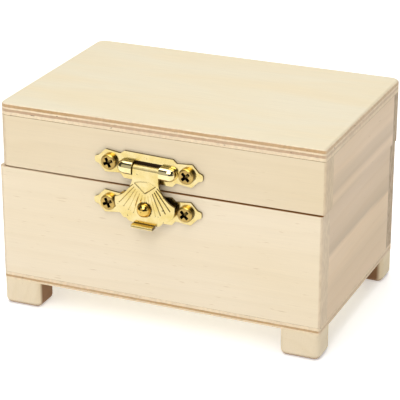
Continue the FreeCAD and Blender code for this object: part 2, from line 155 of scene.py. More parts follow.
class Surface(NodeBoard):
    """A new material, with where a point of the piece is and where it faces."""

    def __init__(self, name: str) -> None:
        """Makes the material.

        Args:
            name: name of the material.
        """
        self.made = bpy.data.materials.new(name)
        super().__init__(self.made)
        coords = self.add("TexCoord")
        self.point = coords.outputs["Object"]
        self.normal = coords.outputs["Normal"]
        self.at = self.add("SeparateXYZ", [self.point]).outputs
        self.facing = self.add("SeparateXYZ", [self.normal]).outputs

    def millimetres(self, point: Wire, shift: Triple = (0.0, 0.0, 0.0)) -> Node:
        """Returns a point in millimetres, shifted so that no two pieces are cut alike."""
        return self.add("VectorMath", [point, (1 / MM,) * 3, shift], operation="MULTIPLY_ADD")

    def finish(self, inputs: Mapping) -> Material:
        """Ends the nodes in one shader with these inputs, and returns the material."""
        self.add("OutputMaterial", [self.add("BsdfPrincipled", inputs)])
        return self.made


@dataclass(frozen=True)
class Pattern:
    """Natural variation of a surface: its real size, its stretch on each axis, and its finer octaves."""

    size_mm: float
    stretch: Triple = (1.0, 1.0, 1.0)
    detail: float = 2.0
    warp: float = 0.0

    def spread(self, surface: Surface, place: Wire) -> Node:
        """Spreads the pattern over a surface.

        Args:
            surface: material that gets it.
            place: position in millimetres.

        Returns:
            Its value at a point, about 0.5 on average.
        """
        drawn_out = surface.add("VectorMath", [place, self.stretch], operation="MULTIPLY")
        return surface.add(
            "TexNoise",
            {"Vector": drawn_out, "Scale": 1 / self.size_mm, "Detail": self.detail, "Distortion": self.warp},
        )


@dataclass(frozen=True)
class SandedPine:
    """Raw pine boards, planed and sanded.

    Pale cream wood with faint yearly rings, fine fibres along the board, a few short dark pores
    and cloudy patches. Its cut ends are a tone darker and mottled. It is matt, with no varnish.
    """

    grain: GrainAxis
    seed: float
    low_m: float
    high_m: float
    end_share: float
    sawn_share: float
    sawn_m: float | None = None
    front_m: float = NOWHERE
    bands: tuple[Span, ...] = ()
    shade_mm: float = 0.0
    inward: Triple = (0.0, 0.0, 0.0)
    slot_m: tuple[Vector, Vector] | None = None
    pale: str = "E7D7BA"
    ring: str = "DBC7A2"
    cloud: str = "E3D1AF"
    pore: str = "B99A6B"
    end: str = "C4AD90"
    end_dark: str = "A48C70"
    sawn: str = "96621E"
    # Warm brown of the painted shade under the box.
    shade: str = "74461A"
    # Dark brown of the painted shade in the slot of the hasp plate.
    slot_shade: str = "3C2611"
    seed_step_mm: Triple = (310.0, 47.0, 71.0)
    # Pine fibres are about 0.04 mm wide, too fine to show, so bundles of them are drawn.
    fibres: Pattern = Pattern(0.45, (0.03, 1.0, 1.0), 3.0)
    fibre_tone: Span = (0.975, 1.02)
    # Resin canals are about 0.2 mm wide, and are drawn coarser so that they show.
    pores: Pattern = Pattern(0.5, (0.09, 1.0, 1.0), 1.0)
    pore_range: Span = (0.72, 0.8)
    pore_share: float = 0.4
    clouds: Pattern = Pattern(45.0, (0.5, 1.0, 1.0), 2.0)
    cloud_range: Span = (0.35, 0.7)
    mottle: Pattern = Pattern(0.9, (1.0, 1.0, 0.35), 3.0)
    mottle_range: Span = (0.38, 0.62)
    end_facing: Span = (0.2, 0.5)
    ring_spacing_mm: float = 5.5
    ring_share: float = 0.2
    ring_profile: tuple[Span, ...] = ((0.0, 0.05), (0.55, 0.25), (0.88, 1.0), (1.0, 0.1))
    ring_wander: Pattern = Pattern(30.0, (0.18, 1.0, 1.0), 2.0)
    wander_years: float = 3.2
    heart_mm: Span = (38.0, -46.0)
    heart_spread_mm: Span = (9.0, 17.0)
    heart_turn: Span = (5.1, 3.7)
    heart_slope: float = 0.02
    band_edges: Pattern = Pattern(7.0, (0.06, 1.0, 1.0), 5.0)
    band_span: Span = (0.2, 0.8)
    band_wander_mm: float = 2.2
    sawn_width_mm: Span = (0.1, 0.28)
    sawn_facing: Span = (0.9, 0.99)
    burnt_mm: Span = (1.2, 2.0)
    burnt_inside: float = 0.2
    weaker_mm: Span = (-45.0, -10.0)
    weaker_share: float = 0.35
    shade_open: Span = (0.15, 0.45)
    corner_share: float = 0.85
    inner_facing: Span = (0.2, 0.9)
    inner_share: float = 0.9
    roughness: Span = (0.56, 0.7)
    specular: float = 0.3
    ior: float = 1.5
    ring_relief: float = 0.4
    relief_mm: float = 0.06
    relief_strength: float = 0.35

    def material(self, name: str) -> Material:
        """Makes the material.

        Args:
            name: name of the material.

        Returns:
            The new material.
        """
        surface = Surface(name)
        board = surface.add("CombineXYZ", [surface.at[axis] for axis in self.grain.value])
        place = surface.millimetres(board, tuple(self.seed * step for step in self.seed_step_mm))
        ring = self._rings(surface, board, place)
        fibre = self.fibres.spread(surface, place)
        colour = self._long_grain(surface, place, ring, fibre)
        colour = self._cut_ends(surface, place, colour)
        if self.bands:
            colour = self._growth_bands(surface, place, colour)
        if self.sawn_m is not None:
            colour = self._sawn_edge(surface, colour)
        # Painted shade: warm brown on the inner faces of the feet and in the corners under the box.
        if self.shade_mm:
            colour = self._painted_shade_under_box(surface, colour)
        # Painted shade on the wood inside the slot of the hasp plate.
        if self.slot_m:
            colour = self._painted_slot_shade(surface, colour)
        rough = surface.add("MapRange", [fibre, *PATTERN_SPAN, *self.roughness])
        relief = surface.add("Math", [ring, self.ring_relief, fibre], operation="MULTIPLY_ADD")
        bump = surface.add(
            "Bump", {"Strength": self.relief_strength, "Distance": self.relief_mm * MM, "Height": relief}
        )
        return surface.finish(
            {
                "Base Color": colour,
                "Roughness": rough,
                "Normal": bump,
                "Specular IOR Level": self.specular,
                "IOR": self.ior,
            }
        )

    def _rings(self, surface: Surface, board: Wire, place: Wire) -> Node:
        """Adds yearly rings about a heart line beside the board.

        Args:
            surface: the material.
            board: position in metres, fibres along the first axis.
            place: the same in millimetres, shifted by the seed.

        Returns:
            How far a point is into the dark late wood of its ring.
        """
        across = self.heart_mm[0] + self.heart_spread_mm[0] * math.sin(self.seed * self.heart_turn[0])
        height = self.heart_mm[1] + self.heart_spread_mm[1] * math.cos(self.seed * self.heart_turn[1])
        offset = surface.add("VectorMath", [board, (0.0, across * MM, height * MM)], operation="SUBTRACT")
        sloped = surface.add("VectorMath", [offset, (self.heart_slope, 1.0, 1.0)], operation="MULTIPLY")
        radius = surface.add("VectorMath", [sloped], operation="LENGTH")
        years = surface.add("Math", [radius, 1 / (self.ring_spacing_mm * MM)], operation="MULTIPLY")
        wander = self.ring_wander.spread(surface, place)
        warped = surface.add("Math", [wander, self.wander_years, years], operation="MULTIPLY_ADD")
        phase = surface.add("Math", [warped], operation="FRACT")
        return surface.add("ValToRGB", [phase], [(at, grey(value)) for at, value in self.ring_profile])

    def _long_grain(self, surface: Surface, place: Wire, ring: Wire, fibre: Wire) -> Node:
        """Mixes the colours of the wood along its fibres.

        Args:
            surface: the material.
            place: position in millimetres, fibres along the first axis.
            ring: late wood of the yearly rings.
            fibre: fine fibres.

        Returns:
            The colour.
        """
        cloudy = surface.add("MapRange", [self.clouds.spread(surface, place), *self.cloud_range])
        base = surface.add("Mix", [cloudy, self.pale, self.cloud], data_type="RGBA")
        late_wood = surface.add("Math", [ring, self.ring_share], operation="MULTIPLY")
        ringed = surface.add("Mix", [late_wood, base, self.ring], data_type="RGBA")
        strands = surface.add("MapRange", [fibre, *FIBRE_SPAN, *self.fibre_tone])
        fibred = surface.add("VectorMath", [ringed, strands], operation="SCALE")
        streaks = self.pores.spread(surface, place)
        dark = surface.add("MapRange", [streaks, *self.pore_range, 0.0, self.pore_share])
        return surface.add("Mix", [dark, fibred, self.pore], data_type="RGBA")

    def _cut_ends(self, surface: Surface, place: Wire, colour: Wire) -> Node:
        """Darkens and mottles the cut ends of the board.

        Args:
            surface: the material.
            place: position in millimetres, fibres along the first axis.
            colour: colour of the wood so far.

        Returns:
            The colour.
        """
        endwise = surface.add("Math", [surface.facing[self.grain.value[0]]], operation="ABSOLUTE")
        share = surface.add("MapRange", [endwise, *self.end_facing, 0.0, self.end_share])
        blotch = surface.add("MapRange", [self.mottle.spread(surface, place), *self.mottle_range])
        end_grain = surface.add("Mix", [blotch, self.end, self.end_dark], data_type="RGBA")
        return surface.add("Mix", [share, colour, end_grain], data_type="RGBA")

    def _growth_bands(self, surface: Surface, place: Wire, colour: Wire) -> Node:
        """Darkens or lightens broad bands along the board.

        Args:
            surface: the material.
            place: position in millimetres, fibres along the first axis.
            colour: colour of the wood so far.

        Returns:
            The colour.
        """
        sway = self.band_wander_mm * MM
        wander = self.band_edges.spread(surface, place)
        drift = surface.add("MapRange", [wander, *self.band_span, -sway, sway])
        level = surface.add("Math", [surface.at["Z"], drift], operation="ADD")
        share = surface.add("MapRange", [level, self.low_m, self.high_m])
        tone = surface.add("ValToRGB", [share], [(at, grey(value)) for at, value in self.bands])
        return surface.add("VectorMath", [colour, tone], operation="MULTIPLY")

    def _sawn_edge(self, surface: Surface, colour: Wire) -> Node:
        """Browns the thin edge where the saw parted the lid from the base, more so towards the right.

        Args:
            surface: the material.
            colour: colour of the wood so far.

        Returns:
            The colour.
        """
        above = surface.add("Math", [surface.at["Z"], self.sawn_m], operation="SUBTRACT")
        reach = surface.add("Math", [above], operation="ABSOLUTE")
        narrow, wide = (width * MM for width in self.sawn_width_mm)
        near = surface.add("MapRange", [reach, narrow, wide, self.sawn_share, 0.0])
        level = surface.add("Math", [surface.facing["Z"]], operation="ABSOLUTE")
        beside = surface.add("MapRange", [level, *self.sawn_facing, 1.0, 0.0])
        start, end = (self.front_m + depth * MM for depth in self.burnt_mm)
        arris = surface.add("MapRange", [surface.at["Y"], start, end, 1.0, self.burnt_inside])
        strip = surface.add("Math", [beside, arris], operation="MAXIMUM")
        burnt = surface.add("Math", [near, strip], operation="MULTIPLY")
        left, right = (x * MM for x in self.weaker_mm)
        stronger = surface.add("MapRange", [surface.at["X"], left, right, self.weaker_share, 1.0])
        share = surface.add("Math", [burnt, stronger], operation="MULTIPLY")
        return surface.add("Mix", [share, colour, self.sawn], data_type="RGBA")

    def _painted_shade_under_box(self, surface: Surface, colour: Wire) -> Node:
        """Paints shade in warm brown on the faces turned inward and on the corners under the box.

        Args:
            surface: the material.
            colour: colour of the wood so far.

        Returns:
            The colour.
        """
        reach = {"Distance": self.shade_mm * MM}
        openness = surface.add("AmbientOcclusion", reach, samples=OCCLUSION_SAMPLES)
        corner = surface.add("MapRange", [openness.outputs["AO"], *self.shade_open, self.corner_share, 0.0])
        turned = surface.add("VectorMath", [surface.normal, self.inward], operation="DOT_PRODUCT")
        inner = surface.add("MapRange", [turned, *self.inner_facing, 0.0, self.inner_share])
        share = surface.add("Math", [corner, inner], operation="MAXIMUM")
        return surface.add("Mix", [share, colour, self.shade], data_type="RGBA")

    def _painted_slot_shade(self, surface: Surface, colour: Wire) -> Node:
        """Paints dark shade on the wood inside the slot of a plate that lies on it.

        Args:
            surface: the material.
            colour: colour of the wood so far.

        Returns:
            The colour.
        """
        share = 1.0
        for axis, low, high in zip("XYZ", *self.slot_m):
            middle, half = (low + high) / 2, (high - low) / 2
            inside = surface.add("Math", [surface.at[axis], middle, half], operation="COMPARE")
            share = surface.add("Math", [inside, share], operation="MULTIPLY")
        return surface.add("Mix", [share, colour, self.slot_shade], data_type="RGBA")


@dataclass(frozen=True)
class PoplarPlywood:
    """Raw poplar plywood, sanded.

    The face is a pale peeled veneer with broad soft figure. The edge shows the plies as level
    stripes: pale long fibres, and browner plies cut across their fibres, with thin dark glue lines.
    """

    low_m: float
    high_m: float
    plies: tuple[tuple[float, str], ...]
    seed: float
    pale: str = "E0D5BA"
    figured: str = "E1D2B1"
    end: str = "E0CBAC"
    rosy: str = "D2B698"
    void: str = "5A3D20"
    seed_step_mm: Triple = (190.0, 83.0, 0.0)
    # Poplar fibres are about 0.03 mm wide, too fine to show, so bundles of them are drawn.
    fibres: Pattern = Pattern(0.5, (0.035, 1.0, 1.0), 3.0)
    fibre_tone: Span = (0.96, 1.03)
    figure: Pattern = Pattern(14.0, (0.22, 1.0, 1.0), 2.0, warp=0.6)
    figure_range: Span = (0.35, 0.7)
    face_facing: Span = (0.75, 0.92)
    wobble: Pattern = Pattern(3.0, detail=3.0)
    wobble_mm: float = 0.12
    end_facing: Span = (0.4, 0.8)
    end_fade: float = 0.55
    patches: Pattern = Pattern(16.0)
    patch_share: float = 0.4
    mottle: Pattern = Pattern(1.3, detail=3.0)
    mottle_tone: Span = (0.9, 1.07)
    voids: Pattern = Pattern(0.9, (0.35, 0.35, 1.0), 1.0)
    void_range: Span = (0.73, 0.78)
    void_share: float = 0.75
    roughness: float = 0.6
    specular: float = 0.3
    relief_mm: float = 0.05
    relief_strength: float = 0.3

    def material(self, name: str) -> Material:
        """Makes the material.

        Args:
            name: name of the material.

        Returns:
            The new material.
        """
        surface = Surface(name)
        place = surface.millimetres(surface.point, tuple(self.seed * step for step in self.seed_step_mm))
        fibre = self.fibres.spread(surface, place)
        face, edge = self._face(surface, place, fibre), self._edge(surface, place)
        level = surface.add("Math", [surface.facing["Z"]], operation="ABSOLUTE")
        on_face = surface.add("MapRange", [level, *self.face_facing])
        colour = surface.add("Mix", [on_face, edge, face], data_type="RGBA")
        bump = surface.add(
            "Bump", {"Strength": self.relief_strength, "Distance": self.relief_mm * MM, "Height": fibre}
        )
        return surface.finish(
            {
                "Base Color": colour,
                "Roughness": self.roughness,
                "Normal": bump,
                "Specular IOR Level": self.specular,
            }
        )

    def _face(self, surface: Surface, place: Wire, fibre: Wire) -> Node:
        """Adds the colour of the face veneer.

        Args:
            surface: the material.
            place: position in millimetres.
            fibre: fine fibres.

        Returns:
            The colour.
        """
        soft = surface.add("MapRange", [self.figure.spread(surface, place), *self.figure_range])
        veneer = surface.add("Mix", [soft, self.pale, self.figured], data_type="RGBA")
        strands = surface.add("MapRange", [fibre, *FIBRE_SPAN, *self.fibre_tone])
        return surface.add("VectorMath", [veneer, strands], operation="SCALE")

    def _edge(self, surface: Surface, place: Wire) -> Node:
        """Adds the stripes of the plies, fainter on the ends of the panel, with small open voids.

        Args:
            surface: the material.
            place: position in millimetres.

        Returns:
            The colour.
        """
        sway = self.wobble_mm * MM
        wave = self.wobble.spread(surface, place)
        drift = surface.add("MapRange", [wave, 0.0, 1.0, -sway, sway])
        level = surface.add("Math", [surface.at["Z"], drift], operation="ADD")
        share = surface.add("MapRange", [level, self.low_m, self.high_m])
        stripes = surface.add("ValToRGB", [share], [(start, linear(colour)) for start, colour in self.plies])
        stripes.color_ramp.interpolation = "CONSTANT"
        sideways = surface.add("Math", [surface.facing["X"]], operation="ABSOLUTE")
        faint = surface.add("MapRange", [sideways, *self.end_facing, 0.0, self.end_fade])
        faded = surface.add("Mix", [faint, stripes, self.end], data_type="RGBA")
        patches = self.patches.spread(surface, place)
        patch = surface.add("MapRange", [patches, *PATTERN_SPAN, 0.0, self.patch_share])
        patchy = surface.add("Mix", [patch, faded, self.rosy], data_type="RGBA")
        mottle = self.mottle.spread(surface, place)
        tone = surface.add("MapRange", [mottle, *PATTERN_SPAN, *self.mottle_tone])
        mottled = surface.add("VectorMath", [patchy, tone], operation="SCALE")
        gaps = self.voids.spread(surface, place)
        open_void = surface.add("MapRange", [gaps, *self.void_range, 0.0, self.void_share])
        return surface.add("Mix", [open_void, mottled, self.void], data_type="RGBA")


@dataclass(frozen=True)
class FoldedTab:
    """Where the lifting tab of the flap lies, for the painted shade and painted dark reflections on it."""

    top_m: float
    back_m: float
    seam_m: float
    tilt_deg: float = 2.0
    crease_mm: Span = (0.35, 0.7)
    crease_facing: Span = (0.5, 0.9)
    crease_share: float = 0.95
    proud_mm: float = 0.1
    end_facing: Span = (0.6, 0.9)
    end_share: float = 0.8
    seam_mm: float = 0.16
    seam_facing: Span = (-0.9, -0.6)
    seam_share: float = 0.8
    rough_facing: Span = (0.3, 0.8)
    roughness: float = 0.4


@dataclass(frozen=True)
class PlatedBrass:
    """Pressed sheet with bright brass plating.

    A pale yellow mirror with a thin haze, faint rolling lines and a few dark pits, so it takes
    the tone of what it faces. Painted shade darkens its corners and grooves, and a painted gold
    reflection colours its upper sides where a height for that is given.
    """

    bright: str = "DECD9A"
    dull: str = "D3BC74"
    tarnish_and_shade: str = "3A260C"
    reflected_gold: str = "FFD866"
    roughness: float = 0.16
    rough_spread: Span = (0.8, 1.3)
    haze: Pattern = Pattern(4.0, detail=4.0)
    # Rolling lines are about 0.05 mm apart, and are drawn coarser so that they show.
    lines: Pattern = Pattern(0.35, (1.0, 1.0, 0.06))
    pits: Pattern = Pattern(0.9, detail=1.0)
    pit_range: Span = (0.74, 0.8)
    corner_mm: float = 0.8
    corner_open: Span = (0.3, 0.85)
    corner_share: float = 0.6
    rim_m: Span | None = None
    rim_facing: Span = (0.2, 0.6)
    rim_share: float = 0.75
    rim_lit_above: bool = False
    rim_lit_facing: Span = (0.72, 0.95)
    reflection_below_m: float | None = None
    reflection_facing: Span = (0.3, 0.8)
    reflection_share: float = 0.9
    tab: FoldedTab | None = None
    relief_mm: float = 0.02
    relief_strength: float = 0.12

    def material(self, name: str) -> Material:
        """Makes the material.

        Args:
            name: name of the material.

        Returns:
            The new material.
        """
        surface = Surface(name)
        place = surface.millimetres(surface.point)
        haze = self.haze.spread(surface, place)
        hazy = surface.add("MapRange", [haze, *PATTERN_SPAN])
        plated = surface.add("Mix", [hazy, self.bright, self.dull], data_type="RGBA")
        pit = surface.add("MapRange", [self.pits.spread(surface, place), *self.pit_range])
        colour = surface.add("Mix", [pit, plated, self.tarnish_and_shade], data_type="RGBA")
        # Painted reflection: deeper gold on upper sides below a given height.
        if self.reflection_below_m is not None:
            colour = self._painted_gold_reflection(surface, colour)
        # Painted shade: the dark tarnish colour in the piece's own corners and grooves.
        reach = {"Distance": self.corner_mm * MM}
        openness = surface.add("AmbientOcclusion", reach, samples=OCCLUSION_SAMPLES, only_local=True)
        dark = surface.add("MapRange", [openness.outputs["AO"], *self.corner_open, self.corner_share, 0.0])
        if self.rim_m:
            dark = self._rim(surface, dark)
        if self.tab:
            dark = self._crease(surface, dark)
        # Mixes in the painted shade and the painted dark reflections.
        shaded_colour = surface.add("Mix", [dark, colour, self.tarnish_and_shade], data_type="RGBA")
        smooth, dim = (self.roughness * part for part in self.rough_spread)
        rough = surface.add("MapRange", [haze, *PATTERN_SPAN, smooth, dim])
        if self.tab:
            upward = [surface.facing["Z"], *self.tab.rough_facing]
            rough = surface.add("MapRange", [*upward, rough, self.tab.roughness])
        lines = self.lines.spread(surface, place)
        bump = surface.add(
            "Bump", {"Strength": self.relief_strength, "Distance": self.relief_mm * MM, "Height": lines}
        )
        return surface.finish({"Base Color": shaded_colour, "Metallic": 1.0, "Roughness": rough, "Normal": bump})

    def _painted_gold_reflection(self, surface: Surface, colour: Wire) -> Node:
        """Paints a deeper gold reflection on upper sides, below a given height.

        Args:
            surface: the material.
            colour: colour of the plating so far.

        Returns:
            The colour.
        """
        below = surface.add("Math", [surface.at["Z"], self.reflection_below_m], operation="LESS_THAN")
        upward = surface.add("MapRange", [surface.facing["Z"], *self.reflection_facing, 0.0, self.reflection_share])
        share = surface.add("Math", [below, upward], operation="MULTIPLY")
        return surface.add("Mix", [share, colour, self.reflected_gold], data_type="RGBA")

    def _rim(self, surface: Surface, dark: Wire) -> Node:
        """Adds a painted dark reflection on the rim of the sheet, or of a screw's head, to the painted shade
        in the corners.

        Args:
            surface: the material.
            dark: share of painted shade so far.

        Returns:
            The share of painted shade.
        """
        front, back = self.rim_m
        middle, half = (front + back) / 2, (back - front) / 2
        within = surface.add("Math", [surface.at["Y"], middle, half], operation="COMPARE")
        forward = surface.add("Math", [surface.facing["Y"]], operation="ABSOLUTE")
        sideways = surface.add("MapRange", [forward, *self.rim_facing, self.rim_share, 0.0])
        rim = surface.add("Math", [within, sideways], operation="MULTIPLY")
        if self.rim_lit_above:
            under = surface.add("MapRange", [surface.facing["Z"], *self.rim_lit_facing, 1.0, 0.0])
            rim = surface.add("Math", [rim, under], operation="MULTIPLY")
        return surface.add("Math", [rim, dark], operation="MAXIMUM")

    def _crease(self, surface: Surface, dark: Wire) -> Node:
        """Adds painted shade in the crease behind the tab, and painted dark reflections on its ends and in
        the seam of its lip.

        Args:
            surface: the material.
            dark: share of painted shade so far.

        Returns:
            The share of painted shade.
        """
        tab = self.tab
        out = surface.add("Math", [tab.back_m, surface.at["Y"]], operation="SUBTRACT")
        inner, outer = (depth * MM for depth in tab.crease_mm)
        behind = surface.add("MapRange", [out, inner, outer, tab.crease_share, 0.0])
        upward = surface.add("MapRange", [surface.facing["Z"], *tab.crease_facing])
        crease = surface.add("Math", [behind, upward], operation="MULTIPLY")
        sideways = surface.add("Math", [surface.facing["X"]], operation="ABSOLUTE")
        end = surface.add("MapRange", [sideways, *tab.end_facing, 0.0, tab.end_share])
        tilt = math.tan(math.radians(tab.tilt_deg))
        level = surface.add("Math", [surface.at["X"], tilt, surface.at["Z"]], operation="MULTIPLY_ADD")
        line = surface.add("Math", [level, tab.seam_m, tab.seam_mm * MM], operation="COMPARE")
        forward = surface.add("MapRange", [surface.facing["Y"], *tab.seam_facing, tab.seam_share, 0.0])
        seam = surface.add("Math", [line, forward], operation="MULTIPLY")
        edges = surface.add("Math", [end, seam], operation="MAXIMUM")
        proud = surface.add("Math", [out, tab.proud_mm * MM], operation="GREATER_THAN")
        on_tab = surface.add("Math", [edges, proud], operation="MULTIPLY")
        either = surface.add("Math", [crease, on_tab], operation="MAXIMUM")
        low = surface.add("Math", [surface.at["Z"], tab.top_m], operation="LESS_THAN")
        share = surface.add("Math", [either, low], operation="MULTIPLY")
        return surface.add("Math", [share, dark], operation="MAXIMUM")


@dataclass(frozen=True)
class StudioPaper:
    """White backdrop paper on a light table: plain, matt and faintly lit, with a barely visible tooth."""

    white: str = "F1F1F1"
    shade: str = "EDEDED"
    # The tooth of paper is about 0.1 mm, and is drawn coarser so that it shows.
    tooth: Pattern = Pattern(1.5)
    glow: Span = (0.42, 1.0)
    glow_from_mm: Span = (260.0, 900.0)
    roughness: float = 0.9
    specular: float = 0.1

    def material(self, name: str) -> Material:
        """Makes the material.

        Args:
            name: name of the material.

        Returns:
            The new material.
        """
        surface = Surface(name)
        tooth = self.tooth.spread(surface, surface.millimetres(surface.point))
        colour = surface.add("Mix", [tooth, self.white, self.shade], data_type="RGBA")
        reach = surface.add("VectorMath", [surface.point], operation="LENGTH")
        near, far = (distance * MM for distance in self.glow_from_mm)
        glow = surface.add("MapRange", [reach, near, far, *self.glow])
        return surface.finish(
            {
                "Base Color": colour,
                "Roughness": self.roughness,
                "Specular IOR Level": self.specular,
                "Emission Color": grey(1.0),
                "Emission Strength": glow,
            }
        )


def dress(node: str, material: Material, edge_mm: float) -> None:
    """Gives a carried-over piece its finish and lightly broken edges.

    Args:
        node: name of the piece.
        material: its finish.
        edge_mm: width of the broken edge.
    """
    piece = frame["nodes"][node]
    piece.data.materials.clear()
    piece.data.materials.append(material)
    bevel = piece.modifiers.new("broken_edges", "BEVEL")
    bevel.width = edge_mm * MM
    bevel.segments = EDGE_SEGMENTS
    bevel.limit_method = "ANGLE"
    bevel.angle_limit = math.radians(EDGE_ANGLE_DEG)
    bevel.harden_normals = True
    LOG.info("dressed %s with %s", node, material.name)


@dataclass
class WoodenCase:
    """The boards, panels and feet of the base and the lid."""

    boards: tuple[str, ...] = (
        "base_front",
        "base_back",
        "lid_front",
        "lid_back",
        "base_left",
        "base_right",
        "lid_left",
        "lid_right",
        "foot_front_left",
        "foot_front_right",
        "foot_back_left",
        "foot_back_right",
    )
    first_seed: float = 0.7
    seed_step: float = 1.13
    board_edge_mm: float = 0.12
    panel_edge_mm: float = 0.1
    foot_shade_mm: float = 14.0
    end_share: float = 0.42
    back_end_share: float = 0.95
    foot_end_share: float = 0.05
    sawn_share: float = 0.25
    front_sawn_share: float = 0.95
    hasp_slot_mm: Span = (10.4, 4.9)
    hasp_slot_middle_mm: Span = (-2.4, 60.85)
    # How far the painted shade in the slot of the hasp plate reaches into the wood.
    slot_shade_depth_mm: float = 0.5
    # Painted light: the base front is paler and the lid front darker, as the light falls on them; the right
    # boards are warmer.
    lit_and_shaded_tones: dict[str, dict[str, str]] = field(
        default_factory=lambda: {
            "base_front": {"pale": "EADBC1", "cloud": "E7D6B7", "ring": "DFCCAB"},
            "lid_front": {"pale": "E4D4B8", "cloud": "E0CEAD", "ring": "D8C4A0"},
            "base_right": {"pale": "E7D0B4", "cloud": "E1C9A9", "ring": "D6BA97"},
            "lid_right": {"pale": "E7D0B4", "cloud": "E1C9A9", "ring": "D6BA97"},
        }
    )
    front_ends: dict[str, str] = field(default_factory=lambda: {"end": "D8BE9E", "end_dark": "B89878"})
    # Height as a share of the board, and the tone there.
    growth_bands: dict[str, tuple[Span, ...]] = field(
        default_factory=lambda: {
            "base_right": (
                (0.0, 1.0), (0.3, 0.96), (0.36, 1.02), (0.57, 1.05),
                (0.6, 0.8), (0.67, 0.87), (0.82, 0.95), (1.0, 0.91),
            ),
            "lid_right": (
                (0.0, 0.9), (0.12, 1.02), (0.2, 1.0), (0.3, 0.85),
                (0.5, 0.91), (0.65, 1.02), (1.0, 0.99),
            ),
        }
    )
    ply_light: str = "EAD7B7"
    ply_brown: str = "BE9A6C"
    ply_pink: str = "C0A080"
    ply_face: str = "E9DCC0"
    ply_glue: str = "A58A62"

    def hasp_slot(self) -> tuple[Vector, Vector]:
        """Places the slot in the lid plate, where painted shade lies on the wood.

        Returns:
            Its lowest and highest corners in metres.
        """
        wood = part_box("lid_front")[0].y
        half = Vector((self.hasp_slot_mm[0] / 2, self.slot_shade_depth_mm, self.hasp_slot_mm[1] / 2)) * MM
        middle = Vector((self.hasp_slot_middle_mm[0] * MM, wood, self.hasp_slot_middle_mm[1] * MM))
        return middle - half, middle + half

    def cut_of_pine(self, node: str, seed: float) -> SandedPine:
        """Chooses the cut of pine for a board or a foot, fibres along its length.

        Args:
            node: name of the piece.
            seed: number that sets its figure apart.

        Returns:
            Its finish.
        """
        low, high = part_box(node)
        foot, front, back = node.startswith("foot"), "front" in node, "back" in node
        return SandedPine(
            grain=GrainAxis.WIDTH if node.endswith(("_front", "_back")) else GrainAxis.DEPTH,
            seed=seed,
            low_m=low.z,
            high_m=high.z,
            end_share=self.foot_end_share if foot else self.back_end_share if back else self.end_share,
            sawn_share=self.front_sawn_share if front else self.sawn_share,
            sawn_m=None if foot else high.z if node.startswith("base") else low.z,
            front_m=low.y if front else NOWHERE,
            bands=self.growth_bands.get(node, ()),
            shade_mm=self.foot_shade_mm if foot else 0.0,
            inward=(1.0 if "left" in node else -1.0, 1.0 if front else -1.0, 0.0),
            slot_m=self.hasp_slot() if node == "lid_front" else None,
            **self.lit_and_shaded_tones.get(node, {}),
            **self.front_ends if node.endswith("_front") else {},
        )

    def dress_boards(self) -> None:
        """Gives each board and foot its own cut of pine."""
        for index, node in enumerate(self.boards):
            finish = self.cut_of_pine(node, self.first_seed + index * self.seed_step)
            dress(node, finish.material("sanded_pine_" + node), self.board_edge_mm)

    def dress_panels(self) -> None:
        """Gives the top and the bottom panel their plies, each from its height as a share of the panel."""
        light, brown, pink, glue = self.ply_light, self.ply_brown, self.ply_pink, self.ply_glue
        top = ((0.0, glue), (0.05, light), (0.3, pink), (0.52, light), (0.66, brown), (0.88, self.ply_face))
        bottom = ((0.0, light), (0.25, brown), (0.56, light), (0.97, glue))
        for node, plies, seed in (("lid_top", top, 1.0), ("bottom_panel", bottom, 2.3)):
            low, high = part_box(node)
            finish = PoplarPlywood(low.z, high.z, plies, seed)
            dress(node, finish.material("poplar_plywood_" + node), self.panel_edge_mm)


